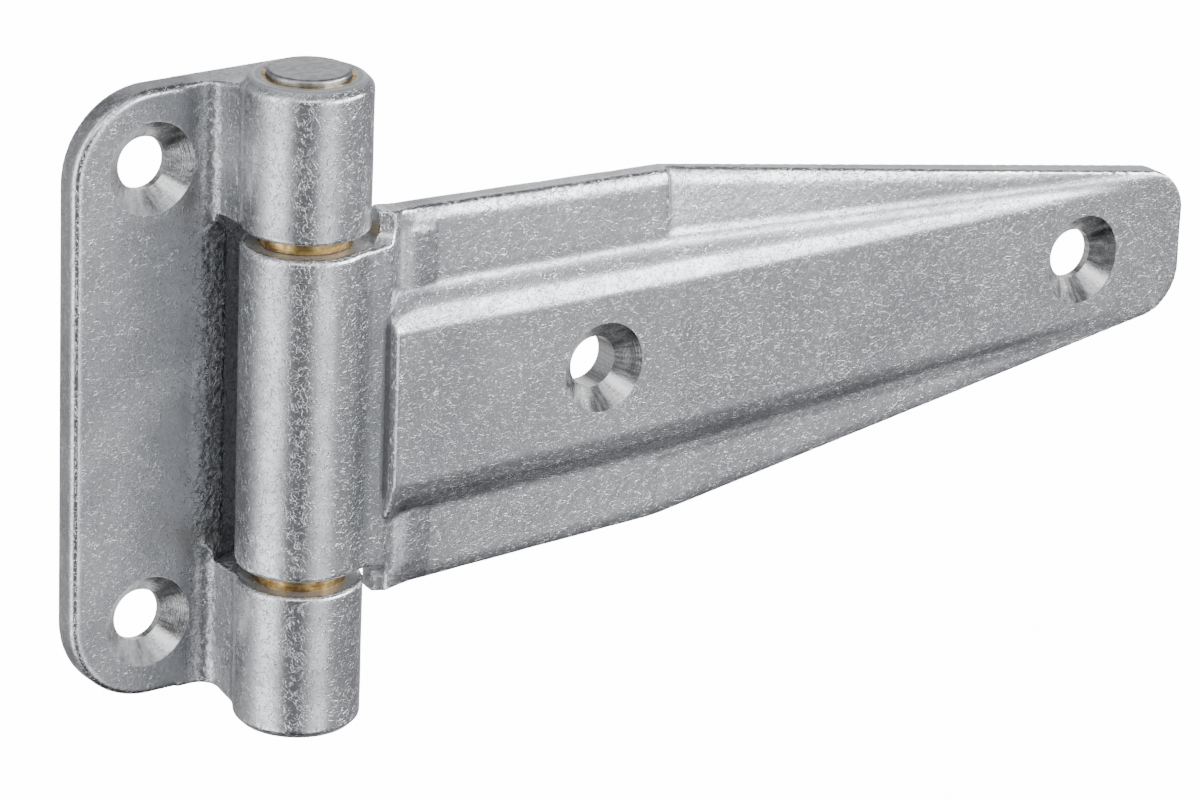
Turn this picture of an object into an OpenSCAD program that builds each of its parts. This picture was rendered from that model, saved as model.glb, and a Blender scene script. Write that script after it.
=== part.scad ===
// Heavy duty T shaped strap hinge, cast leaves on a pressed-in pin that turns in two sleeves.
// Millimetres. X runs along the strap, Y away from the viewer into the wall, Z up along the pin.
// The origin is the centre of the frame leaf's two holes, on its mounting face.

/* [Node] */
// Which piece to draw, or all of them

/* [Barrel and pin] */
// Outside diameter of the three knuckles
barrel_d = 20; // [19:0.5:21]
// Height of the whole barrel, end to end
barrel_h = 105; // [103:0.5:108]
// Width of the bevel round the two outer ends of the barrel
end_bevel = 1.3; // [1:0.1:2]
// Diameter of the pin
pin_d = 13; // [11:0.5:13]
// How far the pin stands out of each end of the barrel
pin_proud = 1; // [0.5:0.1:2]
// Rounding of the pin's two end edges
pin_edge = 0.6; // [0.3:0.1:0.9]
// Wall of the sleeves round the pin
bush_wall = 0.75; // [0.6:0.05:1]
// Clearance in diameter between the pin and the sleeves
pin_play = 0.1; // [0.06:0.02:0.16]
// Height of the centre knuckle
centre_h = 52.4; // [50:0.2:53]
// Gap between the centre knuckle and each outer knuckle, which shows the sleeve
knuckle_gap = 2.3; // [1.5:0.1:3]
// End play between each sleeve and the centre knuckle
end_play = 0.1; // [0.05:0.05:0.3]
// Rounding of the centre knuckle's two rims
centre_rim = 1.3; // [0.8:0.1:1.6]
// Rounding of the outer knuckles' inner rims
ear_rim = 0.9; // [0.5:0.1:1.2]

/* [Frame leaf] */
// Distance from the pin's axis back to the frame leaf's mounting face
frame_set = 17; // [16.6:0.2:19]
// Distance from the pin's axis to the holes of the frame leaf
frame_hole_x = 19.5; // [18.5:0.5:21]
// Distance from the pin's axis to the outer edge of the frame leaf
frame_reach = 33; // [32:0.5:36]
// Height of the frame leaf's plate
frame_h = 99; // [97:0.5:101]
// Thickness of the frame leaf's plate
frame_t = 4.5; // [4:0.25:5]
// Radius of the plate's two outer corners
frame_corner = 14; // [10:1:16]
// Height between the frame leaf's two holes
frame_pitch = 74; // [70:1:75]
// Distance from the axis to the left wall of the webs behind the outer knuckles
web_left = 8.5; // [8:0.25:9]
// Distance from the axis to the right wall of the webs
web_right = 6.6; // [6:0.2:7]
// Concave radius between a web's left wall and the plate
web_fillet = 3.5; // [3:0.25:4]
// Concave radius between a web's inner end and the plate
arch_fillet = 4.5; // [3.5:0.25:4.75]
// Rounding of the webs' rear right edge
web_edge = 1.5; // [1:0.25:2]
// How far a web rises above the plate where it meets the barrel
web_rise = 1.2; // [0.5:0.1:1.4]
// Radius of the hollow in the plate behind the centre knuckle
plate_hollow = 14; // [13.7:0.1:15]
// Distance from the axis to the plate's free edge behind the centre knuckle
plate_edge_x = 2.9; // [2:0.1:4]

/* [Strap leaf] */
// Distance from the pin's axis forward to the strap's mounting face
strap_set = 3; // [2.5:0.1:3.5]
// Length of the strap from the pin's axis to its end
strap_reach = 171; // [168:1:178]
// Thickness of the strap's flange at the root
strap_t = 4.5; // [4.25:0.25:4.75]
// Thickness of the flange at the tip
strap_t_tip = 4.2; // [3.8:0.1:4.4]
// Half height of the strap at the pin's axis
root_half = 31.6; // [31:0.2:33]
// Half height of the strap where its edges turn inward
break_half = 29.4; // [28.5:0.1:30]
// Distance from the axis to that turn
break_x = 63.4; // [58:0.2:68]
// Half height of the strap's end, measured to the corner of its straight edges
tip_half = 11.9; // [11.5:0.1:13]
// Radius of the two corners at the end of the strap
tip_corner = 7; // [5:0.5:8]
// Distance from the pin's axis to the first hole of the strap
strap_hole_x = 49.2; // [47:0.2:52]
// Distance between the strap's two holes
strap_pitch = 100; // [97:1:103]
// Distance from the axis to the strap's end faces, which pass the outer knuckles, at the back
end_x = 10.5; // [10.3:0.1:10.8]
// How much nearer to the axis the end faces are at the front
end_lean = 0.8; // [0.2:0.1:1]
// Concave radius between an end face and the centre knuckle's rim
pass_fillet = 2.4; // [1.5:0.1:2.6]
// Concave radius between the centre knuckle and the back of the strap
back_fillet = 3; // [2:0.25:4]

/* [Raised rib of the strap] */
// Height of the raised rib above the flange near the knuckle
rib_h = 3.1; // [2.6:0.1:3.4]
// Distance from the axis at which the rib starts, at its end wall's foot
rib_start = 11.4; // [11.2:0.1:12]
// Width of the sloping wall at the rib's start
rib_wall = 2; // [1.6:0.1:2.6]
// Distance from the axis at which the rib has run out
rib_end = 160; // [158:1:164]
// Half width of the flat of the rib near the knuckle
rib_half = 15.6; // [14.5:0.1:16.5]
// Half width of the flat of the rib at its end
rib_half_tip = 10.2; // [9:0.1:10.5]
// Width of the sloping step along the rib near the knuckle
rib_step = 3.7; // [3:0.1:4.2]
// Width of the step at the rib's end
rib_step_tip = 1.6; // [1.2:0.1:2]
// Rounding of the rib's upper corner at the knuckle
rib_round = 4; // [2:0.25:5]
// How much the rib's lower side widens into the knuckle
rib_flare = 1.8; // [0.5:0.1:2.4]
// Length over which it widens
rib_flare_run = 5.5; // [4:0.5:7]

/* [Groove and facets beside the centre knuckle] */
// Radius of the upright groove between the knuckle and the rib
groove_r = 1.6; // [1.2:0.1:1.8]
// Distance from the axis to the middle of the groove
groove_x = 11.7; // [11.5:0.1:12]
// Depth of the groove below the flange
groove_depth = 1.05; // [0.6:0.05:1.2]
// Half height of the groove, to where its round ends begin
groove_half = 27; // [24:0.5:28]
// Height of the slightly raised facets beside the rib at the groove
facet_h = 0.7; // [0.4:0.1:0.8]
// Height of the small step at which the facets end
facet_step = 0.2; // [0.1:0.05:0.3]
// Distance from the axis to that step
facet_end = 19; // [17:0.5:22]
// Distance of the facets from the strap's edges
facet_inset = 1.9; // [1.5:0.1:2.5]

/* [Screw holes and edges] */
// Diameter of the screw holes
screw_d = 8.4; // [6.6:0.2:9]
// Diameter of the countersinks at the surface
sink_d = 14.8; // [13:0.2:15]
// Rounding along the front edges of both leaves
edge_r = 1.2; // [0.8:0.1:1.4]

/* [Hidden] */
// Facets of the large round surfaces, of the holes, and of the small roundings
round_fn = 96;
hole_fn = 64;
small_fn = 32;
// Overlap used to join and to cut cleanly
lap = 0.5;
clear = 40;
// Steps of the rib's loft, across one slope and along each of its stretches
step_n = 8;
wall_n = 8;
run_n = 4;
axis_x = frame_hole_x;
axis_y = -frame_set;
barrel_r = barrel_d / 2;
half_h = barrel_h / 2;
centre_half = centre_h / 2;
ear_in = centre_half + knuckle_gap;
bush_d = pin_d + 2 * bush_wall;
bush_in = centre_half + end_play;
plate_y = frame_set - frame_t;
plate_half = frame_h / 2;
flange_y = -strap_set - strap_t;
tip_y = -strap_set - strap_t_tip;
taper_run = strap_reach - break_x;
taper_tilt = atan((tip_y - flange_y) / taper_run);
side_slope = (break_half - tip_half) / taper_run;
side_turn = atan(side_slope);
root_turn = atan((root_half - break_half) / break_x);
corner_x = strap_reach - tip_corner;
corner_z = break_half - side_slope * (corner_x - break_x) - tip_corner / cos(side_turn);
side_end_x = corner_x + tip_corner * sin(side_turn);
side_end_z = corner_z + tip_corner * cos(side_turn);
side_len = (side_end_x - break_x) / cos(side_turn);
root_len = break_x / cos(root_turn);
facet_half = break_half - facet_inset + (root_half - break_half) * (1 - facet_end / break_x);
end_tilt = atan(end_lean / strap_t);
// Depth at which the web's top edge has risen from the plate to the barrel
rise_y = barrel_r / 2;

// Moves what follows from the pin's axis to its place in the hinge
module at_axis() {
  translate([axis_x, axis_y, 0])
    children();
}

// Draws what follows at the top and again, mirrored, at the bottom
module top_and_bottom() {
  children();
  mirror([0, 0, 1])
    children();
}

// Quarter-round waste along an edge: the corner of a square outside a circle
module round_waste(r) {
  difference() {
    translate([-r, -r])
      square([r + lap, r + lap]);
    translate([-r, -r])
      circle(r = r, $fn = small_fn);
  }
}

// Waste along a straight edge that runs toward +X, with its corner at the origin,
// the outer side toward +Z and the front toward -Y
module edge_waste(len, r) {
  rotate([90, 0, 90])
    linear_extrude(len)
      mirror([1, 0])
        round_waste(r);
}

// Waste round an outward corner of radius big, its front face in the plane y = 0
module corner_waste(big, r) {
  rotate([90, 0, 0])
    rotate_extrude($fn = round_fn)
      translate([big, 0])
        round_waste(r);
}

// Hole through a leaf with a countersink that opens toward -Y from the plane y = front
module screw_hole(x, z, front, back) {
  sink_depth = (sink_d - screw_d) / 2;
  translate([x, back + lap, z])
    rotate([90, 0, 0])
      cylinder(d = screw_d, h = back - front + 2 * lap, $fn = hole_fn);
  translate([x, front + sink_depth, z])
    rotate([90, 0, 0])
      cylinder(d1 = screw_d, d2 = sink_d + 2 * lap, h = sink_depth + lap, $fn = hole_fn);
}

// Outline of the frame leaf's plate, seen from the front
module plate_outline() {
  left = -frame_reach;
  union() {
    translate([left, -plate_half + frame_corner])
      square([frame_reach - web_left, frame_h - 2 * frame_corner]);
    translate([left + frame_corner, -plate_half])
      square([frame_reach - frame_corner - plate_edge_x, frame_h]);
    for (side = [-1, 1])
      translate([left + frame_corner, side * (plate_half - frame_corner)])
        circle(r = frame_corner, $fn = round_fn);
  }
}

// Outer knuckle with its end bevel and inner rim, from z = ear_in to the barrel's end
module ear_barrel() {
  rotate_extrude($fn = round_fn)
    union() {
      polygon([[0, ear_in], [barrel_r - ear_rim, ear_in], [barrel_r, ear_in + ear_rim],
        [barrel_r, half_h - end_bevel], [barrel_r - end_bevel, half_h], [0, half_h]]);
      translate([barrel_r - ear_rim, ear_in + ear_rim])
        circle(r = ear_rim, $fn = small_fn);
    }
}

// Plan of a web: block behind the knuckle, with a concave root on the plate
module web_plan() {
  union() {
    translate([-web_left, 0])
      square([web_left + web_right - web_edge, frame_set]);
    translate([-web_left, 0])
      square([web_left + web_right, frame_set - web_edge]);
    translate([web_right - web_edge, frame_set - web_edge])
      circle(r = web_edge, $fn = small_fn);
    difference() {
      translate([-web_left - web_fillet, plate_y - web_fillet])
        square([web_fillet + lap, web_fillet + lap]);
      translate([-web_left - web_fillet, plate_y - web_fillet])
        circle(r = web_fillet, $fn = small_fn);
    }
  }
}

// Side view of a web: flush with the plate's top, rising to the barrel, hollow below
module web_side() {
  inner = ear_in - arch_fillet;
  difference() {
    polygon([[frame_set, inner], [frame_set, plate_half], [plate_y, plate_half],
      [rise_y, plate_half + web_rise], [0, plate_half + web_rise], [0, ear_in],
      [plate_y - arch_fillet, ear_in], [plate_y - arch_fillet, inner]]);
    translate([plate_y - arch_fillet, inner])
      circle(r = arch_fillet, $fn = round_fn);
  }
}

// Solid web that joins an outer knuckle to the plate
module web() {
  intersection() {
    linear_extrude(clear * 2)
      web_plan();
    translate([-clear, 0, 0])
      rotate([90, 0, 90])
        linear_extrude(clear * 2)
          web_side();
  }
}

// Frame leaf: plate, two webs and the two outer knuckles, one casting
module frame_leaf() {
  color([0.72, 0.73, 0.74])
    at_axis()
      difference() {
        union() {
          translate([0, frame_set, 0])
            rotate([90, 0, 0])
              linear_extrude(frame_t)
                plate_outline();
          top_and_bottom()
            ear_barrel();
          top_and_bottom()
            web();
        }
        cylinder(d = bush_d, h = barrel_h + clear, center = true, $fn = round_fn);
        cylinder(r = plate_hollow, h = 2 * (ear_in - arch_fillet), center = true, $fn = round_fn);
        for (side = [-1, 1])
          screw_hole(-frame_hole_x, side * frame_pitch / 2, plate_y, frame_set);
        top_and_bottom()
          translate([-frame_reach + frame_corner, plate_y, plate_half])
            edge_waste(frame_reach - frame_corner - web_left - web_fillet, edge_r);
        top_and_bottom()
          intersection() {
            translate([-frame_reach + frame_corner, plate_y, plate_half - frame_corner])
              corner_waste(frame_corner, edge_r);
            translate([-frame_reach - lap, 0, plate_half - frame_corner])
              cube([frame_corner + lap, frame_set, frame_corner + lap]);
          }
        translate([-frame_reach, plate_y, -plate_half + frame_corner])
          rotate([0, -90, 0])
            edge_waste(frame_h - 2 * frame_corner, edge_r);
      }
}

// Outline of the strap's flange, seen from the front
module flange_outline() {
  union() {
    polygon([[0, -root_half], [break_x, -break_half], [side_end_x, -side_end_z],
      [corner_x, -corner_z], [strap_reach, -corner_z], [strap_reach, corner_z],
      [corner_x, corner_z], [side_end_x, side_end_z], [break_x, break_half], [0, root_half]]);
    for (side = [-1, 1])
      translate([corner_x, side * corner_z])
        circle(r = tip_corner, $fn = round_fn);
  }
}

// Centre knuckle with its two rounded rims
module centre_barrel() {
  rotate_extrude($fn = round_fn)
    union() {
      translate([0, -centre_half])
        square([barrel_r - centre_rim, centre_h]);
      translate([0, -centre_half + centre_rim])
        square([barrel_r, centre_h - 2 * centre_rim]);
      for (side = [-1, 1])
        translate([barrel_r - centre_rim, side * (centre_half - centre_rim)])
          circle(r = centre_rim, $fn = small_fn);
    }
}

// Concave filling between the centre knuckle and the back of the strap
module back_root() {
  reach = sqrt(pow(barrel_r + back_fillet, 2) - pow(back_fillet - strap_set, 2));
  linear_extrude(2 * root_half - 2 * edge_r, center = true)
    difference() {
      polygon([[0, -strap_set - lap], [0, 0],
        [reach * barrel_r / (barrel_r + back_fillet), (back_fillet - strap_set) * barrel_r
          / (barrel_r + back_fillet)],
        [reach, -strap_set], [reach, -strap_set - lap]]);
      translate([reach, back_fillet - strap_set])
        circle(r = back_fillet, $fn = round_fn);
    }
}

// Waste beside one outer knuckle: it ends at a leaning end face with a rounded foot
module pass_waste() {
  translate([end_x, -strap_set, centre_half])
    rotate([90, 0, -end_tilt])
      linear_extrude(clear, center = true)
        union() {
          translate([-clear, 0])
            square([clear - pass_fillet, clear]);
          translate([-clear, pass_fillet])
            square([clear, clear]);
          translate([-pass_fillet, pass_fillet])
            circle(r = pass_fillet, $fn = hole_fn);
        }
}

// Upright groove beside the centre knuckle, with round ends
module root_groove() {
  translate([groove_x, flange_y + groove_depth - groove_r, 0]) {
    cylinder(r = groove_r, h = 2 * groove_half, center = true, $fn = hole_fn);
    for (side = [-1, 1])
      translate([0, 0, side * groove_half])
        sphere(r = groove_r, $fn = hole_fn);
  }
}

// Slightly raised facets beside the rib, highest at the groove
module root_facets() {
  linear_extrude(2 * facet_half, center = true)
    polygon([[groove_x, flange_y + lap], [groove_x, flange_y - facet_h],
      [facet_end, flange_y - facet_step], [facet_end, flange_y + lap]]);
}

// The rib is a loft: stations along the strap, each an S shaped slope, a flat and a slope.
// front(x) is the flange's face, rise(x) the rib's height above it, flat(x) and slope(x) the
// half width of its flat and the width of its step. The upper corner is rounded at the knuckle
// and the lower side widens there.
function blend(t) = t * t * (3 - 2 * t);
function along(x) = (x - rib_start) / (rib_end - rib_start);
function front(x) = flange_y + (tip_y - flange_y) * max(0, x - break_x) / taper_run;
function start_wall(x) = blend(min(1, (x - rib_start) / rib_wall));
function fall(x) = min(1, (rib_end - x) / (rib_end - break_x));
function rise(x) = rib_h * start_wall(x) * fall(x);
function flat(x) = rib_half + (rib_half_tip - rib_half) * along(x);
function slope(x) = rib_step + (rib_step_tip - rib_step) * along(x);
function left(x, run) = max(0, 1 - (x - rib_start) / run);
function rounding(x) = rib_round * (1 - sqrt(1 - pow(left(x, rib_round), 2)));
function flare(x) = rib_flare * pow(left(x, rib_flare_run), 2);
function upper(x) = flat(x) - rounding(x);
function lower(x) = -flat(x) - flare(x);
rib_x = [
  for (i = [0 : wall_n]) rib_start + rib_wall * i / wall_n,
  for (i = [1 : run_n]) rib_start + rib_wall + (rib_flare_run - rib_wall) * i / run_n,
  for (i = [1 : run_n]) let (a = rib_start + rib_flare_run) a + (break_x - a) * i / run_n,
  for (i = [1 : run_n]) break_x + (rib_end - break_x) * i / run_n
];
function station(x) = concat(
  [[x, front(x) + lap, lower(x) - slope(x)]],
  [for (j = [0 : step_n]) let (t = j / step_n)
    [x, front(x) - rise(x) * blend(t), lower(x) - slope(x) * (1 - t)]],
  [for (j = [step_n : -1 : 0]) let (t = j / step_n)
    [x, front(x) - rise(x) * blend(t), upper(x) + slope(x) * (1 - t)]],
  [[x, front(x) + lap, upper(x) + slope(x)]]);

// Raised rib, from the groove at the knuckle to where it has run out near the tip
module rib() {
  ring = 2 * step_n + 4;
  count = len(rib_x);
  points = [for (x = rib_x) each station(x)];
  sides = [
    for (i = [0 : count - 2]) for (j = [0 : ring - 1]) let (k = (j + 1) % ring)
      each [[i * ring + j, i * ring + k, (i + 1) * ring + k],
        [i * ring + j, (i + 1) * ring + k, (i + 1) * ring + j]]
  ];
  near = [for (j = [ring - 1 : -1 : 0]) j];
  far = [for (j = [0 : ring - 1]) (count - 1) * ring + j];
  polyhedron(points = points, faces = concat([near, far], sides));
}

// Wedge in front of the flange that thins it from the turn of its edges to the tip
module taper_waste() {
  translate([break_x, flange_y, -clear])
    rotate([0, 0, taper_tilt])
      translate([0, -clear, 0])
        cube([taper_run + clear, clear, 2 * clear]);
}

// Flange of the strap with thinned tip and rounded front edges
module flange() {
  difference() {
    translate([0, -strap_set, 0])
      rotate([90, 0, 0])
        linear_extrude(strap_t)
          flange_outline();
    taper_waste();
    top_and_bottom()
      translate([0, flange_y, root_half])
        rotate([0, root_turn, 0])
          edge_waste(root_len, edge_r);
    top_and_bottom()
      translate([break_x, flange_y, break_half])
        rotate([0, side_turn, 0])
          rotate([0, 0, taper_tilt])
            edge_waste(side_len, edge_r);
    top_and_bottom()
      intersection() {
        translate([corner_x, tip_y, corner_z])
          corner_waste(tip_corner, edge_r);
        translate([corner_x, -clear, corner_z])
          cube([clear, 2 * clear, clear]);
      }
    translate([strap_reach, tip_y, corner_z])
      rotate([0, 90, 0])
        edge_waste(2 * corner_z, edge_r);
  }
}

// Strap leaf: centre knuckle, flange and raised rib, one casting
module strap_leaf() {
  color([0.7, 0.71, 0.72])
    at_axis()
      difference() {
        union() {
          centre_barrel();
          difference() {
            union() {
              difference() {
                union() {
                  flange();
                  root_facets();
                }
                root_groove();
              }
              rib();
              back_root();
            }
            top_and_bottom()
              pass_waste();
          }
        }
        cylinder(d = pin_d, h = barrel_h, center = true, $fn = round_fn);
        for (x = [strap_hole_x, strap_hole_x + strap_pitch])
          screw_hole(x, 0, front(x) - rise(x), -strap_set);
      }
}

// Pin, pressed into the centre knuckle, with rounded end edges
module hinge_pin() {
  r = pin_d / 2;
  end = half_h + pin_proud;
  color([0.62, 0.62, 0.63])
    at_axis()
      rotate_extrude($fn = round_fn)
        union() {
          translate([0, -end])
            square([r - pin_edge, 2 * end]);
          translate([0, -end + pin_edge])
            square([r, 2 * (end - pin_edge)]);
          for (side = [-1, 1])
            translate([r - pin_edge, side * (end - pin_edge)])
              intersection() {
                circle(r = pin_edge, $fn = small_fn);
                translate([0, -pin_edge])
                  square([pin_edge, 2 * pin_edge]);
              }
        }
}

// Sleeve pressed into an outer knuckle, standing out of its inner end
module sleeve() {
  color([0.78, 0.62, 0.3])
    at_axis()
      translate([0, 0, bush_in])
        difference() {
          cylinder(d = bush_d, h = half_h - bush_in, $fn = round_fn);
          translate([0, 0, -lap])
            cylinder(d = pin_d + pin_play, h = half_h, $fn = round_fn);
        }
}

// Upper sleeve
module upper_bush() {
  sleeve();
}

// Lower sleeve, the same piece turned over
module lower_bush() {
  mirror([0, 0, 1])
    sleeve();
}

frame_leaf();
strap_leaf();
hinge_pin();
upper_bush();
lower_bush();
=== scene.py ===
import math

import bpy
import numpy as np
from mathutils import Matrix, Vector


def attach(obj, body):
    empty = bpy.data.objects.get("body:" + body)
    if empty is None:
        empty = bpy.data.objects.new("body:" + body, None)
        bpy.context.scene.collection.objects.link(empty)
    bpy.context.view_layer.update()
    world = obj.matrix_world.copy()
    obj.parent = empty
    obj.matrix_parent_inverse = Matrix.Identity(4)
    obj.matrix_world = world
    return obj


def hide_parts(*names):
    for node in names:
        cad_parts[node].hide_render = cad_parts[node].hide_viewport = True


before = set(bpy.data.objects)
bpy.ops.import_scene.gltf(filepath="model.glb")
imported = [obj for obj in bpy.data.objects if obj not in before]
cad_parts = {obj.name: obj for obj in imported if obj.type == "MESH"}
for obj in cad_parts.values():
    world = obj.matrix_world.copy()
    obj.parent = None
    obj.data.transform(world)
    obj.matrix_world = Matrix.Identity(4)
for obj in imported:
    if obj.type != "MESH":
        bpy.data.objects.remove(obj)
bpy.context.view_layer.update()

# The hinge is worked out in millimetres from the pin's axis: x along the strap, y into the wall, z up.
AXIS = np.array([19.5, -17.0, 0.0])
BARREL_R, BARREL_HALF, BEVEL = 10.0, 52.5, 1.3
CENTRE_HALF, EAR_IN = 26.2, 28.5
PLATE_FRONT, PLATE_BACK, PLATE_HALF = 12.5, 17.0, 49.5
FLANGE_FRONT, FLANGE_BACK = -7.5, -3.0
BREAK_X, STRAP_END = 63.4, 171.0
RIB_START, RIB_END, RIB_H = 9.3, 160.0, 3.1
PAD_X, GROOVE_X, FACET_END = 9.9, 12.3, 19.2
BORE_R, PIN_R = 7.25, 6.5
SCREW_R, SINK_R = 4.2, 7.4
FRAME_HOLE_X, FRAME_HOLE_Z = -19.5, 37.0
STRAP_HOLE_X, STRAP_HOLE_HALF = 99.2, 50.0
RIB_FACE, TIP_FACE = -10.6, -7.6
HOLLOW_R = 14.0
PLATE_END, PLATE_CORNER = -33.0, 14.0
WEB_LEFT, WEB_RIGHT = -8.5, 6.6


# Shape functions.

def ease(t):
    """Smooth step: 3 t squared minus 2 t cubed, with t held between 0 and 1."""
    t = np.clip(t, 0.0, 1.0)
    return t * t * (3.0 - 2.0 * t)


def inside_both(a, b, r):
    """Distance to what is inside both a and b, the edge where they meet rounded to radius r."""
    u, v = np.maximum(a + r, 0.0), np.maximum(b + r, 0.0)
    return np.minimum(np.maximum(a + r, b + r), 0.0) + np.hypot(u, v) - r


def inside_either(a, b, r):
    """Distance to what is inside a or b, the inner corner where they meet filled to radius r."""
    u, v = np.maximum(r - a, 0.0), np.maximum(r - b, 0.0)
    return np.maximum(np.minimum(a - r, b - r), 0.0) - np.hypot(u, v) + r


def slab(p, low, high):
    """Distance to the slab between low and high along one direction."""
    return np.maximum(low - p, p - high)


def waves(x, y, z, size):
    """Gentle unevenness of a cast skin, from -1 to 1: a sum of slanting sines about size apart."""
    k = 2.0 * math.pi / size
    a = np.sin(k * (0.83 * x + 0.31 * z) + 1.3 * np.sin(k * 0.37 * z + 0.7))
    b = np.sin(k * (-0.42 * x + 0.74 * z + 0.2 * y) + 1.1 * np.sin(k * 0.43 * x))
    c = np.sin(k * (0.29 * x - 0.51 * z + 0.6 * y) + 2.1)
    return (a + b + c) / 3.0


def ruler(*stretches):
    """Grid lines along one direction: each stretch is (from, to, step), and steps are evened out."""
    parts = [np.linspace(a, b, max(2, int(round((b - a) / step)) + 1))[:-1] for a, b, step in stretches]
    return np.append(np.concatenate(parts), stretches[-1][1])


def skin(field, lines):
    """Closed surface where field is zero, as points and four-sided faces.

    The grid lines along x, y and z cut the space into cells. A cell with the surface in it gets one
    point, the mean of where its twelve edges cross the surface, and every crossed grid edge gets a
    face through the four cells round it. Each point is then drawn onto the surface along the slope
    of the field.
    """
    f = field(*np.meshgrid(*lines, indexing="ij", sparse=True))
    n = np.array(f.shape) - 1
    total, count = np.zeros((*n, 3)), np.zeros(n)
    corners = [(i, j, k) for i in (0, 1) for j in (0, 1) for k in (0, 1)]
    part = lambda c: tuple(slice(c[d], c[d] + n[d]) for d in range(3))
    for d in range(3):
        for a in (c for c in corners if not c[d]):
            b = tuple(a[e] + (e == d) for e in range(3))
            fa, fb = f[part(a)], f[part(b)]
            crossed = (fa < 0) != (fb < 0)
            share = np.where(crossed, fa / np.where(crossed, fa - fb, 1.0), 0.0)
            for e in range(3):
                total[..., e] += np.where(crossed, a[e] + (share if e == d else 0.0), 0.0)
            count += crossed
    used = count > 0
    cells = np.argwhere(used)
    place = total[used] / count[used][:, None]
    points = np.stack([lines[d][cells[:, d]] + place[:, d] * np.diff(lines[d])[cells[:, d]]
                       for d in range(3)], 1)
    number = np.full(used.shape, -1)
    number[used] = np.arange(len(cells))
    faces = []
    for d in range(3):
        e, g = (d + 1) % 3, (d + 2) % 3
        span = [slice(1, m) for m in n]
        span[d] = slice(0, n[d])
        ahead = [slice(s.start, s.stop) for s in span]
        ahead[d] = slice(1, n[d] + 1)
        fa, fb = f[tuple(span)], f[tuple(ahead)]
        at = np.argwhere((fa < 0) != (fb < 0))
        out = fa[tuple(at.T)] < 0
        at[:, e] += 1
        at[:, g] += 1
        ring = []
        for back_e, back_g in ((1, 1), (0, 1), (0, 0), (1, 0)):
            cell = at.copy()
            cell[:, e] -= back_e
            cell[:, g] -= back_g
            ring.append(number[tuple(cell.T)])
        ring = np.stack(ring, 1)
        faces.append(np.where(out[:, None], ring, ring[:, ::-1]))
    return settle(field, points), np.concatenate(faces)


def slope_of(field, points, reach):
    """Slope of the field at the points, from its difference over a short reach to both sides."""
    steps = reach * np.eye(3)
    return np.stack([field(*(points + s).T) - field(*(points - s).T) for s in steps], 1) / (2 * reach)


def settle(field, points):
    """Points drawn onto the surface: each moves by its distance over the slope, at most 0.2 mm a time."""
    for _ in range(3):
        value, slope = field(*points.T), slope_of(field, points, 0.02)
        move = -(value / np.maximum((slope ** 2).sum(1), 0.05))[:, None] * slope
        length = np.linalg.norm(move, axis=1, keepdims=True)
        points = points + move * np.minimum(1.0, 0.2 / np.maximum(length, 1e-9))
    return points


def bend_of(field, points, reach=0.45):
    """How far the surface bends, per mm: the field's mean over six near points less its own value.

    It is above zero on an outward edge and below zero in an inward corner.
    """
    around = sum(field(*(points + s * reach).T) for s in np.concatenate([np.eye(3), -np.eye(3)]))
    return (around - 6.0 * field(*points.T)) / reach ** 2


# The two castings.

def frame_form(x, y, z):
    """Frame casting without its holes.

    Plate: a rounded oblong 4.5 thick. Ears: 20 mm round bars with a bevelled end. Behind each ear is
    a block down to the wall; it meets the plate in a concave foot, its inner end sweeps into the
    plate in an arch, and its outer end rises a little towards the bar. A round hollow behind the
    centre knuckle cuts plate and arches.
    """
    up = np.abs(z)
    cast_skin = 0.04 + 0.04 * waves(x, y, z, 9.0)
    corner_x, corner_z = PLATE_END + PLATE_CORNER - x, up - (PLATE_HALF - PLATE_CORNER)
    outline = np.minimum(np.maximum(corner_x, corner_z), 0.0) + np.hypot(
        np.maximum(corner_x, 0.0), np.maximum(corner_z, 0.0)) - PLATE_CORNER
    front = PLATE_FRONT - y + cast_skin
    edge = np.maximum(inside_both(outline, front, 1.3), y - PLATE_BACK)
    plate = inside_both(np.maximum(edge, x + 2.9), outline + PLATE_BACK - 16.85 + (y - PLATE_BACK), 0.2)
    round_r = np.hypot(x, y)
    block = inside_both(slab(x, WEB_LEFT, WEB_RIGHT), 0.4 - y, 0.8)
    foot = inside_either(block, front, 2.8)
    arch = inside_both(up - EAR_IN, y - PLATE_FRONT, 4.2)
    crown = PLATE_HALF + 1.2 * ease((PLATE_FRONT - y) / 8.0)
    web = inside_both(inside_both(foot, -arch, 0.22), up - crown, 0.7)
    web = np.maximum(np.maximum(web, y - PLATE_BACK), np.maximum(-14.0 - x, x - WEB_RIGHT))
    both = np.minimum(plate, web)
    hollow = np.maximum(round_r - HOLLOW_R, up - EAR_IN)
    both = inside_both(both, -hollow, 0.16)
    side = round_r - BARREL_R + cast_skin
    bevel = (round_r - BARREL_R + up - BARREL_HALF + BEVEL) / math.sqrt(2.0)
    bar = inside_both(side, EAR_IN - up, 0.7)
    bar = inside_both(inside_both(bar, up - BARREL_HALF, 0.2), bevel, 0.25)
    return inside_either(both, bar, 0.35)


def strap_half(x):
    """Half height of the strap at x: gently tapered to the break, then steeply to the tip."""
    root = 31.6 + (29.4 - 31.6) * x / BREAK_X
    return np.minimum(root, 29.4 + (11.9 - 29.4) * (x - BREAK_X) / (STRAP_END - BREAK_X))


def step_shape(t):
    """Step from 0 to 1: 0.45 times a smooth step up to t = 0.62, plus 0.55 times 2 t^2 - t^3.

    Its foot is concave, it is steepest at a third, and its upper part slopes gently up to an edge.
    """
    t = np.clip(t, 0.0, 1.0)
    return 0.45 * ease(t / 0.62) + 0.55 * t * t * (2.0 - t)


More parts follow.
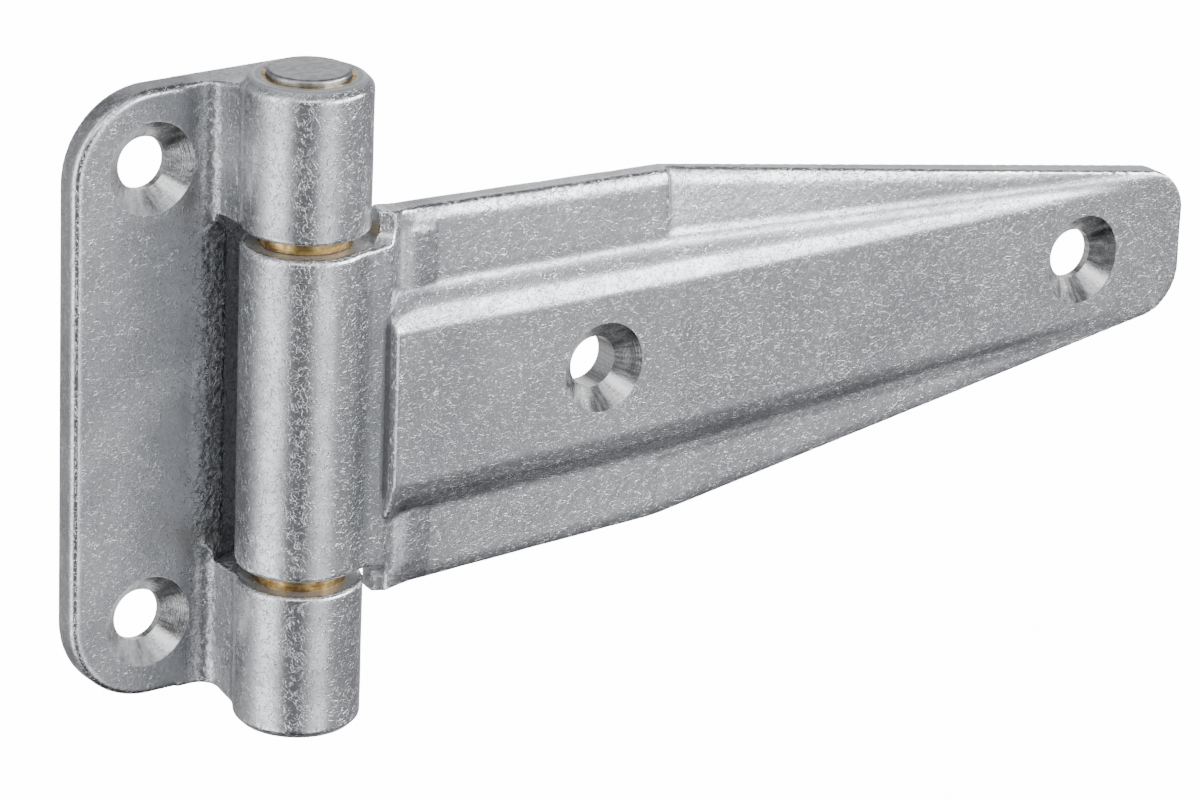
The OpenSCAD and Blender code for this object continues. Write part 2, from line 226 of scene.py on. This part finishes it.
def strap_front(x, z):
    """Depth of the strap's face at x, z: flange, raised rib, facets, groove and the turn of its edges.

    The rib's foot line falls slowly to the turn and then steeply, its crest line stays nearly level,
    and between them the face follows the step shape. The upper flange leans back more beyond the
    turn, where both flanges also lie 0.22 mm lower behind a soft crease. Near the outline the face
    turns back by the brow, a square curve of the distance to the edge. The root is a raised pad,
    and a shallow groove in the shape of a cosine parts it from the facets.
    """
    past = np.maximum(0.0, x - BREAK_X)
    foot = 19.45 - 0.019 * np.minimum(x, BREAK_X) - 0.066 * past
    crest = 12.6 - 0.013 * np.minimum(x, BREAK_X) - 0.012 * past
    crest = np.minimum(crest, foot - 0.6)
    near = np.clip(1.0 - (x - RIB_START) / 7.0, 0.0, 1.0)
    drop = 4.6 * (1.0 - np.sqrt(1.0 - near ** 2))
    flare = 3.6 * np.maximum(0.0, 1.0 - (x - RIB_START) / 4.6) ** 2
    upper = (foot - drop - z) / (foot - drop - crest)
    lower = (foot + flare + z) / (foot + flare - crest)
    high = RIB_H * np.clip((RIB_END - x) / (RIB_END - BREAK_X), 0.0, 1.0)
    stood = step_shape((x - RIB_START) / 0.8) * step_shape(np.where(z > 0, upper, lower))
    rise = high * stood
    pad = 1.0 - ease((x - PAD_X) / 2.6)
    outer = np.maximum(0.0, np.abs(z) - foot)
    turn = ease((x - BREAK_X + 0.8) / 1.6)
    lean = (0.02 + turn * np.where(z > 0, 0.125 - 0.0015 * past, -0.02)) * outer
    ledge = 0.22 * np.clip((x - BREAK_X + 1.4) / 1.4, 0.0, 1.0) ** 2 * ease(outer / 1.5)
    margin = strap_half(x) - np.abs(z)
    brow = np.clip(1.0 - margin / (2.9 - 0.009 * past), 0.0, 1.3) ** 2
    brow = (1.0 - 0.0095 * past) * ease((x - 11.5) / 5.5) * brow
    inset = margin - 2.6
    facet = 0.16 + 0.25 * np.clip((FACET_END - x) / 6.5, 0.0, 1.0)
    facet = facet * ease((FACET_END - x) / 0.5) * ease(inset / 1.6)
    facet = facet * ease((np.abs(z) - foot + 3.2) / 1.5) * ease((x - 12.0) / 4.0)
    across = x - GROOVE_X
    groove = 0.1 + 0.1 * np.cos(math.pi * np.clip(across / 2.3, -1.0, 1.0))
    groove = groove * ease((28.6 - np.abs(z) - 0.4 * across) / 1.6) * (1.0 - stood)
    return FLANGE_FRONT + lean + ledge + brow - np.maximum(np.maximum(rise, facet), pad) + groove


def strap_form(x, y, z):
    """Strap casting without its holes.

    Blade: the tapered outline with a round-cornered end, between the flat back and the worked face.
    It joins a 20 mm round knuckle in a fillet. Beside the ears of the frame casting the blade ends in
    a leaning end face with a chamfer to the front, whose foot sweeps into the knuckle's rim.
    """
    up = np.abs(z)
    cast_skin = 0.03 + 0.03 * waves(x, y, z, 11.0)
    outline = inside_both((up - strap_half(x)) * 0.993, x - STRAP_END, 7.0)
    face = (strap_front(x, z) - y + cast_skin) * 0.8
    blade = inside_both(inside_both(outline, face, 0.4), y - FLANGE_BACK, 0.4)
    blade = np.maximum(blade, -x)
    round_r = np.hypot(x, y)
    fill = 0.9 + 2.1 * ease((y + 6.0) / 3.0)
    body = inside_either(round_r - BARREL_R + cast_skin, blade, fill)
    body = inside_both(body, outline, 0.4)
    end_x = 9.8 - 0.7 * np.clip((FLANGE_BACK - y) / 4.5, -0.5, 1.5)
    chamfer = 0.515 * (x - 9.15) + 0.857 * (y + 6.1)
    beside = np.minimum(np.minimum((x - end_x) * 0.985, chamfer), FLANGE_BACK + 0.1 - y)
    away = inside_both(beside, CENTRE_HALF - up, 2.4)
    rim = 0.4 + 0.6 * (1.0 - ease((x - 6.0) / 3.0))
    return inside_both(body, -away, rim)


def frame_coarse(x, y, z):
    """Where the frame's skin is wrinkled most: a smooth step to the webs and to their foot."""
    return 3.5 * ease((x + 13.0) / 3.0) * ease((y - 2.0) / 4.0)


def frame_painted_shade(x, y, z):
    """Painted shade on the frame's colour: the plate greyer in smooth steps towards the webs, and the round
    hollow.
    """
    radius = np.hypot(x, y)
    # Painted shade on the plate, deepening towards the webs and lessened beside the ears.
    plate = (0.2 + 0.6 * ease((x + 28.0) / 18.0)) * ease((y - 9.0) / 3.0)
    plate = plate * (1.0 - 0.7 * ease((np.abs(z) - 26.0) / 4.0) * ease((x + 13.0) / 3.0))
    # Painted shade in the round hollow behind the centre knuckle.
    hollow = (1.0 - ease((radius - HOLLOW_R) / 0.4)) * ease((radius - 10.3) / 0.3) * (np.abs(z) < 25.0)
    return plate + 0.7 * hollow


def strap_coarse(x, y, z):
    """Where the strap's skin is wrinkled most: a smooth step from the rib out to the flanges."""
    return ease((np.abs(z) - 19.0 + 0.06 * np.maximum(x - BREAK_X, 0.0)) / 1.5)


def strap_painted_light_and_shade(x, y, z):
    """Painted shade on the strap's colour, as products of smooth steps: facets, flat beside the knuckle,
    root.

    It is below zero, so lighter, on the end faces beside the ears, where light is painted.
    """
    up = np.abs(z)
    # Painted shade on the facets, the flat beside the knuckle and the root, and painted light on the end
    # faces beside the ears.
    facets = ease((x - GROOVE_X - 0.2) / 1.0) * ease((FACET_END + 0.2 - x) / 0.5) * (up > 17.0)
    beside = ease((x - 2.0) / 3.0) * ease((11.5 - x) / 1.0) * (up < 26.0)
    painted_end_light = ease((11.0 - x) / 0.6) * ease((up - CENTRE_HALF) / 0.5)
    root = ease((34.0 - x) / 12.0) * ease((x - 11.0) / 1.0)
    return 0.3 * facets + 0.4 * beside - 0.7 * painted_end_light + 0.2 * root


def blank(name, field, lines, coarse, painted_light_and_shade):
    """Mesh object of a casting, from its field, moved from the pin's axis to its place, in metres.

    Its finish reads five point attributes: bend tells where the edges and the inner corners are,
    coarse where the skin is wrinkled most, painted light and shade where shade is painted on the colour
    (and light, where it is below zero), barrel is one on the round bars, and turned is one on their end
    faces.
    """
    points, faces = skin(field, lines)
    mesh = bpy.data.meshes.new(name)
    mesh.from_pydata(((points + AXIS) / 1000.0).tolist(), [], faces.tolist())
    mesh.polygons.foreach_set("use_smooth", np.ones(len(mesh.polygons), bool))
    for key, values in (("bend", np.clip(bend_of(field, points), -4.0, 4.0)),
                        ("coarse", coarse(*points.T)),
                        ("painted_light_and_shade", painted_light_and_shade(*points.T)),
                        ("barrel", 1.0 - ease((np.hypot(points[:, 0], points[:, 1]) - 10.1) / 0.6)),
                        ("turned", 1.0 - ease((np.hypot(points[:, 0], points[:, 1]) - 8.9) / 0.4))):
        mesh.attributes.new(key, "FLOAT", "POINT").data.foreach_set("value", values.astype(np.float32))
    mesh.update()
    piece = bpy.data.objects.new(name, mesh)
    bpy.context.scene.collection.objects.link(piece)
    return piece


def turned(name, profile, along, place, sides=128):
    """Solid of revolution: the profile's (radius, height) pairs turned round the given axis at place.

    Point i, j is at the radius of pair i in direction 2 pi j / sides; a flat face closes each end.
    """
    profile = np.array(profile, float)
    turn = np.linspace(0.0, 2.0 * math.pi, sides, endpoint=False)
    ring = np.stack([np.cos(turn), np.sin(turn), np.zeros(sides)], 1)
    points = profile[:, None, 0, None] * ring[None] + profile[:, None, 1, None] * np.array([0, 0, 1.0])
    points = points.reshape(-1, 3)
    if along == "y":
        points = points[:, [0, 2, 1]] * np.array([1.0, -1.0, 1.0])
    rows, j = len(profile), np.arange(sides)
    k = (j + 1) % sides
    faces = [np.stack([i * sides + j, i * sides + k, (i + 1) * sides + k, (i + 1) * sides + j], 1)
             for i in range(rows - 1)]
    ends = [list(range(sides))[::-1], list(range((rows - 1) * sides, rows * sides))]
    mesh = bpy.data.meshes.new(name)
    mesh.from_pydata(((points + np.array(place) + AXIS) / 1000.0).tolist(), [],
                     np.concatenate(faces).tolist() + ends)
    mesh.update()
    piece = bpy.data.objects.new(name, mesh)
    bpy.context.scene.collection.objects.link(piece)
    return piece


def cut_with(piece, tools, finish):
    """Takes each tool out of piece, gives the cut faces the finish, and keeps only their edges sharp."""
    for tool in tools:
        tool.data.materials.append(finish)
        cut = piece.modifiers.new("cut", "BOOLEAN")
        cut.object, cut.operation, cut.solver = tool, "DIFFERENCE", "EXACT"
        cut.material_mode = "TRANSFER"
    solid = bpy.data.meshes.new_from_object(piece.evaluated_get(bpy.context.evaluated_depsgraph_get()))
    piece.modifiers.clear()
    piece.data = solid
    solid.name = piece.name
    solid.set_sharp_from_angle(angle=math.radians(38.0))
    for tool in tools:
        bpy.data.objects.remove(tool)


def screw_hole(x, z, front, back):
    """Tool for a countersunk hole: 8.4 mm through, opening at 45 degrees to 14.8 mm at the front."""
    deep = front + SINK_R - SCREW_R
    profile = [(SCREW_R, -(back + 1.0)), (SCREW_R, -deep), (SINK_R + 1.0, -(front - 1.0))]
    return turned("tool", profile, "y", (x, 0.0, z))


def bore(radius, low, high):
    """Tool for a round bore along the pin, from height low to high."""
    return turned("tool", [(radius, low), (radius, high)], "z", (0.0, 0.0, 0.0))


# Finishes.

def finish_nodes(name):
    """New material: its surface shader, a maker of further nodes, and a maker of sums on numbers."""
    material = bpy.data.materials.new(name)
    material.use_nodes = True
    tree = material.node_tree
    shader = tree.nodes["Principled BSDF"]

    def add(kind, inputs=None, **settings):
        node = tree.nodes.new(kind)
        for key, value in settings.items():
            setattr(node, key, value)
        for key, value in (inputs or {}).items():
            socket = node.inputs[key]
            if isinstance(value, bpy.types.NodeSocket):
                tree.links.new(value, socket)
            else:
                socket.default_value = value
        return node

    def calc(how, *values):
        return add("ShaderNodeMath", dict(enumerate(values)), operation=how).outputs[0]

    return material, tree, shader, add, calc


def spread(add, value, low, high, to_low, to_high):
    """Value carried from the range low, high to the range to_low, to_high in a smooth, held curve."""
    node = add("ShaderNodeMapRange", {"Value": value, "From Min": low, "From Max": high,
                                      "To Min": to_low, "To Max": to_high}, interpolation_type="SMOOTHSTEP")
    return node.outputs["Result"]


def noise(add, where, size, detail=0.0, key="Fac", **more):
    """Soft noise with lumps about size metres apart."""
    node = add("ShaderNodeTexNoise", {"Vector": where, "Scale": 1.0 / size, "Detail": detail, **more})
    return node.outputs[key]


def blend_colour(add, amount, first, second):
    """Colour that goes from first to second as amount goes from 0 to 1."""
    ramp = add("ShaderNodeValToRGB", {"Fac": amount})
    ramp.color_ramp.elements[0].color = (*first, 1.0)
    ramp.color_ramp.elements[1].color = (*second, 1.0)
    return ramp.outputs[0]


def curled_lines(add, calc, where, size, width, shift):
    """Short curled hairlines, from 0 to 1.

    A warped noise passes through its middle value along long winding lines; the line is one at that
    value and falls to zero width to each side, and a second noise cuts it into short pieces.
    """
    step = (shift, 1.7 * shift, -2.3 * shift)
    moved = add("ShaderNodeVectorMath", {0: where, 1: step}, operation="ADD").outputs[0]
    swirl = noise(add, moved, 1.3 * size, key="Color")
    warp = add("ShaderNodeVectorMath", {0: swirl, 1: (0.5, 0.5, 0.5)}, operation="SUBTRACT").outputs[0]
    warp = add("ShaderNodeVectorMath", {0: warp, "Scale": 2.2 * size}, operation="SCALE").outputs[0]
    bent = add("ShaderNodeVectorMath", {0: moved, 1: warp}, operation="ADD").outputs[0]
    off_middle = calc("ABSOLUTE", calc("SUBTRACT", noise(add, bent, size), 0.5))
    line = spread(add, off_middle, 0.0, width, 1.0, 0.0)
    return calc("MULTIPLY", line, spread(add, noise(add, moved, 1.1 * size), 0.42, 0.52, 0.0, 1.0))


def cast_finish():
    """Tumbled cast aluminium: soft grey metal whose skin is full of short curled scuffs.

    The scuffs are raised hairlines of three sizes over a fine grain and soft lumps, which are
    strongest where the skin is coarse. Outward edges are polished; inner corners, where the tumbling
    did not reach, stay rough and their colour is darkened with painted shade, and turned end faces are
    the dullest. Painted shade, and painted light, also come in from the painted light and shade attribute.
    """
    material, tree, shader, add, calc = finish_nodes("tumbled_aluminium")
    where = add("ShaderNodeTexCoord").outputs["Object"]
    bend, coarse, painted_light_and_shade, barrel, turned = (add("ShaderNodeAttribute", attribute_name=key).outputs["Fac"]
                                         for key in ("bend", "coarse", "painted_light_and_shade", "barrel", "turned"))
    edge = spread(add, bend, 0.18, 0.9, 0.0, 1.0)
    # Inner corners: rougher, and their colour darkened with painted shade.
    corner = spread(add, bend, -0.9, -0.12, 1.0, 0.0)
    long_lines = curled_lines(add, calc, where, 0.0014, 0.026, 0.011)
    mid_lines = curled_lines(add, calc, where, 0.0011, 0.032, 0.031)
    short_lines = curled_lines(add, calc, where, 0.0008, 0.04, 0.057)
    grain = noise(add, where, 0.0003, 1.0)
    lumps = noise(add, where, 0.0012, 1.0)
    clouds = noise(add, where, 0.0065, 4.0)
    patches = noise(add, where, 0.017, 2.0)

    def total(first, *terms):
        for value, weight in terms:
            first = calc("MULTIPLY_ADD", value, weight, first)
        return first

    lines = total(long_lines, (mid_lines, 1.0), (short_lines, 0.8))
    lines = calc("MULTIPLY", lines, total(1.0, (turned, -0.8)))
    height = calc("MULTIPLY", lines, total(1.1, (barrel, 0.2), (coarse, 0.5)))
    height = total(height, (grain, 0.6))
    height = calc("MULTIPLY_ADD", lumps, total(0.9, (coarse, 2.4), (barrel, -0.5)), height)
    bump = add("ShaderNodeBump", {"Height": height, "Strength": 1.0, "Distance": 0.000024})
    tree.links.new(bump.outputs[0], shader.inputs["Normal"])

    wrinkled = spread(add, coarse, 0.0, 1.0, 0.0, 1.0)
    # The tone is darkened by painted shade in inner corners and where the painted light and shade attribute
    # is above zero, and lightened by painted light where it is below zero.
    tone = total(spread(add, clouds, 0.32, 0.68, 0.39, 0.57), (lines, 0.17), (edge, 0.3),
                 (corner, -0.35), (painted_light_and_shade, -0.75), (wrinkled, 0.1))
    tone = calc("ADD", tone, spread(add, patches, 0.35, 0.65, -0.06, 0.06))
    tone = calc("ADD", tone, spread(add, grain, 0.3, 0.7, -0.12, 0.12))
    colour = blend_colour(add, tone, (0.27, 0.275, 0.287), (0.86, 0.865, 0.88))
    tree.links.new(colour, shader.inputs["Base Color"])

    dullness = total(spread(add, clouds, 0.3, 0.7, 0.36, 0.30), (lines, -0.05), (barrel, -0.02),
                     (edge, -0.08), (corner, 0.14), (turned, 0.26))
    tree.links.new(dullness, shader.inputs["Roughness"])
    shader.inputs["Metallic"].default_value = 1.0
    return material


def machined_finish(name, centre_x, fold_x, fold_z):
    """Turned countersink: bright metal with fine rings round the nearest hole and short radial smears.

    The holes stand at centre_x plus or minus fold_x and at plus or minus fold_z, in millimetres, so
    the two folded distances dx and dz are those from the nearest hole; the radius is their length.
    """
    material, tree, shader, add, calc = finish_nodes(name)
    where = add("ShaderNodeTexCoord").outputs["Object"]
    parts = add("ShaderNodeSeparateXYZ", {0: where})
    dx = calc("SUBTRACT", calc("ABSOLUTE", calc("SUBTRACT", parts.outputs["X"], centre_x / 1000.0)),
              fold_x / 1000.0)
    dz = calc("SUBTRACT", calc("ABSOLUTE", parts.outputs["Z"]), fold_z / 1000.0)
    radius = calc("SQRT", calc("ADD", calc("MULTIPLY", dx, dx), calc("MULTIPLY", dz, dz)))
    angle = calc("ARCTAN2", dz, dx)

    def round_noise(out_per_m, round_per_turn, detail):
        place = add("ShaderNodeCombineXYZ", {"X": calc("MULTIPLY", radius, out_per_m),
                                             "Y": calc("MULTIPLY", angle, round_per_turn)})
        return noise(add, place.outputs[0], 1.0, detail)

    rings = round_noise(9000.0, 0.6, 3.0)
    smears = round_noise(420.0, 6.0, 4.0)
    grain = noise(add, where, 0.0004, 2.0)
    height = calc("ADD", calc("ADD", calc("MULTIPLY", rings, 0.7), calc("MULTIPLY", smears, 0.45)),
                  calc("MULTIPLY", grain, 0.6))
    bump = add("ShaderNodeBump", {"Height": height, "Strength": 1.0, "Distance": 0.00003})
    tree.links.new(bump.outputs[0], shader.inputs["Normal"])
    tree.links.new(spread(add, smears, 0.3, 0.7, 0.16, 0.28), shader.inputs["Roughness"])
    tone = spread(add, calc("ADD", smears, calc("MULTIPLY", grain, 0.5)), 0.5, 1.0, 0.0, 1.0)
    colour = blend_colour(add, tone, (0.52, 0.515, 0.51), (0.88, 0.88, 0.88))
    tree.links.new(colour, shader.inputs["Base Color"])
    shader.inputs["Metallic"].default_value = 1.0
    return material


def pin_finish():
    """Turned stainless pin: darker grey, fine straight brushing on the ends and a few scuffs."""
    material, tree, shader, add, calc = finish_nodes("turned_stainless")
    where = add("ShaderNodeTexCoord").outputs["Object"]
    stretch = add("ShaderNodeMapping", {"Vector": where, "Rotation": (0.0, 0.0, 0.35),
                                        "Scale": (300.0, 5200.0, 1500.0)})
    brushed = noise(add, stretch.outputs[0], 1.0, 3.0)
    blotch = noise(add, where, 0.0013, 3.0)
    scuffs = curled_lines(add, calc, where, 0.0011, 0.04, 0.023)
    height = calc("ADD", calc("ADD", calc("MULTIPLY", brushed, 1.1), blotch), calc("MULTIPLY", scuffs, 0.5))
    bump = add("ShaderNodeBump", {"Height": height, "Strength": 1.0, "Distance": 0.00002})
    tree.links.new(bump.outputs[0], shader.inputs["Normal"])
    tree.links.new(spread(add, brushed, 0.3, 0.7, 0.42, 0.3), shader.inputs["Roughness"])
    tone = spread(add, calc("ADD", blotch, calc("MULTIPLY", brushed, 0.7)), 0.6, 1.1, 0.0, 1.0)
    colour = blend_colour(add, tone, (0.30, 0.30, 0.305), (0.50, 0.497, 0.493))
    tree.links.new(colour, shader.inputs["Base Color"])
    shader.inputs["Metallic"].default_value = 1.0
    return material


def brass_finish():
    """Turned brass sleeve, a little dulled: rings round the bore and faint brown patches."""
    material, tree, shader, add, calc = finish_nodes("turned_brass")
    where = add("ShaderNodeTexCoord").outputs["Object"]
    stretch = add("ShaderNodeMapping", {"Vector": where, "Scale": (260.0, 260.0, 5200.0)})
    rings = noise(add, stretch.outputs[0], 1.0, 3.0)
    patches = noise(add, where, 0.0016, 3.0)
    tone = spread(add, calc("ADD", patches, calc("MULTIPLY", rings, 0.4)), 0.5, 0.9, 0.0, 1.0)
    colour = blend_colour(add, tone, (0.20, 0.12, 0.045), (0.62, 0.43, 0.17))
    tree.links.new(colour, shader.inputs["Base Color"])
    relief = calc("ADD", rings, patches)
    bump = add("ShaderNodeBump", {"Height": relief, "Strength": 1.0, "Distance": 0.00002})
    tree.links.new(bump.outputs[0], shader.inputs["Normal"])
    tree.links.new(spread(add, patches, 0.3, 0.7, 0.42, 0.26), shader.inputs["Roughness"])
    shader.inputs["Metallic"].default_value = 1.0
    return material


cast = cast_finish()
frame_sink = machined_finish("turned_frame_countersink", AXIS[0] + FRAME_HOLE_X, 0.0, FRAME_HOLE_Z)
strap_sink = machined_finish("turned_strap_countersink", AXIS[0] + STRAP_HOLE_X, STRAP_HOLE_HALF, 0.0)
steel = pin_finish()
brass = brass_finish()

# Pieces.

frame_casting = blank("frame_casting", frame_form, (
    ruler((-33.6, 10.8, 0.42)), ruler((-10.8, 17.8, 0.4)),
    ruler((-53.2, -46.0, 0.33), (-46.0, -32.0, 0.5), (-32.0, -22.0, 0.33), (-22.0, 22.0, 0.5),
          (22.0, 32.0, 0.33), (32.0, 46.0, 0.5), (46.0, 53.2, 0.33))), frame_coarse, frame_painted_shade)
frame_casting.data.materials.append(cast)
cut_with(frame_casting, [
    screw_hole(FRAME_HOLE_X, FRAME_HOLE_Z, PLATE_FRONT, PLATE_BACK),
    screw_hole(FRAME_HOLE_X, -FRAME_HOLE_Z, PLATE_FRONT, PLATE_BACK),
    bore(BORE_R, 20.0, 60.0),
    bore(BORE_R, -60.0, -20.0),
], frame_sink)
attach(frame_casting, "frame")
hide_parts("frame_leaf")

strap_casting = blank("strap_casting", strap_form, (
    ruler((-10.7, 22.0, 0.36), (22.0, 171.8, 0.72)), ruler((-11.4, -2.2, 0.4), (-2.2, 10.8, 0.5)),
    ruler((-32.4, 32.4, 0.46))), strap_coarse, strap_painted_light_and_shade)
strap_casting.data.materials.append(cast)
cut_with(strap_casting, [
    screw_hole(STRAP_HOLE_X - STRAP_HOLE_HALF, 0.0, RIB_FACE, FLANGE_BACK),
    screw_hole(STRAP_HOLE_X + STRAP_HOLE_HALF, 0.0, TIP_FACE, FLANGE_BACK),
    bore(PIN_R, -60.0, 60.0),
], strap_sink)
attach(strap_casting, "strap")
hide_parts("strap_leaf")

for name, finish in (("hinge_pin", steel), ("upper_bush", brass), ("lower_bush", brass)):
    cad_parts[name].data.materials.clear()
    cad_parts[name].data.materials.append(finish)

# Studio.

FLOOR_REACH, FLOOR_Z, FLOOR_GLOW = 6.0, -0.4, 14.0
floor_corners = [(FLOOR_REACH * a, FLOOR_REACH * b, FLOOR_Z) for a, b in ((-1, -1), (1, -1), (1, 1), (-1, 1))]
floor_mesh = bpy.data.meshes.new("floor")
floor_mesh.from_pydata(floor_corners, [], [(0, 1, 2, 3)])
floor = bpy.data.objects.new("floor", floor_mesh)
bpy.context.scene.collection.objects.link(floor)
pale, _, pale_shader, _, _ = finish_nodes("pale_floor")
pale_shader.inputs["Base Color"].default_value = (0.92, 0.92, 0.92, 1.0)
pale_shader.inputs["Roughness"].default_value = 0.9
pale_shader.inputs["Emission Color"].default_value = (1.0, 1.0, 1.0, 1.0)
pale_shader.inputs["Emission Strength"].default_value = FLOOR_GLOW
floor_mesh.materials.append(pale)
floor.visible_glossy = False
floor.visible_diffuse = False
floor.visible_shadow = False


def studio(bands, shares, boxes):
    """Plain soft light all round, as the level seen in each direction.

    bands are (azimuth in degrees, level) pairs round the hinge, 0 at the front and 90 at the right,
    and shares are (elevation, share) pairs that scale them. Each box adds its level inside its
    azimuths and elevations, with soft edges: (from, to, lowest, highest, softness, level).
    """
    world = bpy.data.worlds.new("studio")
    world.use_nodes = True
    bpy.context.scene.world = world
    air = world.node_tree

    def add(kind, inputs=None, **settings):
        node = air.nodes.new(kind)
        for key, value in settings.items():
            setattr(node, key, value)
        for key, value in (inputs or {}).items():
            if isinstance(value, bpy.types.NodeSocket):
                air.links.new(value, node.inputs[key])
            else:
                node.inputs[key].default_value = value
        return node

    def calc(how, *values):
        return add("ShaderNodeMath", dict(enumerate(values)), operation=how).outputs[0]

    def ramp(value, stops, top):
        node = add("ShaderNodeValToRGB", {"Fac": value})
        node.color_ramp.interpolation = "EASE"
        marks = node.color_ramp.elements
        while len(marks) < len(stops):
            marks.new(0.5)
        for mark, (place, level) in zip(marks, stops):
            mark.position, mark.color = place, (*(level / top,) * 3, 1.0)
        return calc("MULTIPLY", node.outputs[0], top)

    def window(value, low, high, soft):
        up = spread(add, value, low - soft, low + soft, 0.0, 1.0)
        return calc("MULTIPLY", up, spread(add, value, high - soft, high + soft, 1.0, 0.0))

    way = add("ShaderNodeSeparateXYZ", {0: add("ShaderNodeTexCoord").outputs["Generated"]})
    azimuth = calc("DEGREES", calc("ARCTAN2", way.outputs["X"], calc("MULTIPLY", way.outputs["Y"], -1.0)))
    elevation = calc("DEGREES", calc("ARCSINE", way.outputs["Z"]))
    round_place = calc("MULTIPLY_ADD", azimuth, 1 / 360.0, 0.5)
    up_place = calc("MULTIPLY_ADD", elevation, 1 / 180.0, 0.5)
    level = calc("MULTIPLY", ramp(round_place, [(0.5 + a / 360.0, v) for a, v in bands], 4.0),
                 ramp(up_place, [(0.5 + e / 180.0, v) for e, v in shares], 1.0))
    for start, end, lowest, highest, soft, extra in boxes:
        inside = calc("MULTIPLY", window(azimuth, start, end, soft), window(elevation, lowest, highest, soft))
        level = calc("MULTIPLY_ADD", inside, extra, level)
    tint = add("ShaderNodeVectorMath", {0: level, 1: (0.985, 1.0, 1.03)}, operation="MULTIPLY")
    air.links.new(tint.outputs[0], air.nodes["Background"].inputs["Color"])


studio(
    bands=((-180, 0.3), (-140, 0.55), (-120, 0.65), (-96, 3.3), (-74, 3.3), (-61, 0.17), (-16, 0.17),
           (-2, 2.2), (16, 2.2), (28, 0.30), (46, 0.36), (62, 0.33), (86, 0.25), (118, 0.4),
           (144, 1.3), (180, 0.3)),
    shares=((-90, 0.03), (-66, 0.1), (-48, 0.6), (-36, 0.95), (28, 0.9), (40, 0.6), (90, 0.35)),
    boxes=((16, 74, 3, 26, 4, 9.5), (-58, -8, 28, 52, 7, 2.4)),
)

# Camera.

AIM, AIM_DISTANCE = (56.373, 0.0, -10.29), 875.526
VIEW_WIDTH, SENSOR, LENS_PIXELS = 1200.0, 36.0, 5495.072
az, el, roll = (math.radians(v) for v in (36.139, 20.805, 2.394))
back = Vector((-math.sin(az) * math.cos(el), -math.cos(az) * math.cos(el), math.sin(el)))
right = (-back).cross(Vector((0, 0, 1))).normalized()
upward = right.cross(-back)
right, upward = (right * math.cos(roll) + upward * math.sin(roll),
                 -right * math.sin(roll) + upward * math.cos(roll))
place = (Vector(AIM) + AIM_DISTANCE * back + Vector(AXIS.tolist())) / 1000.0
lens = bpy.data.cameras.new("camera")
lens.sensor_width = SENSOR
lens.lens = LENS_PIXELS / VIEW_WIDTH * SENSOR
lens.clip_start, lens.clip_end = 0.05, 50.0
camera = bpy.data.objects.new("camera", lens)
camera.matrix_world = Matrix((
    (right.x, upward.x, back.x, place.x),
    (right.y, upward.y, back.y, place.y),
    (right.z, upward.z, back.z, place.z),
    (0, 0, 0, 1),
))
bpy.context.scene.collection.objects.link(camera)
bpy.context.scene.camera = camera
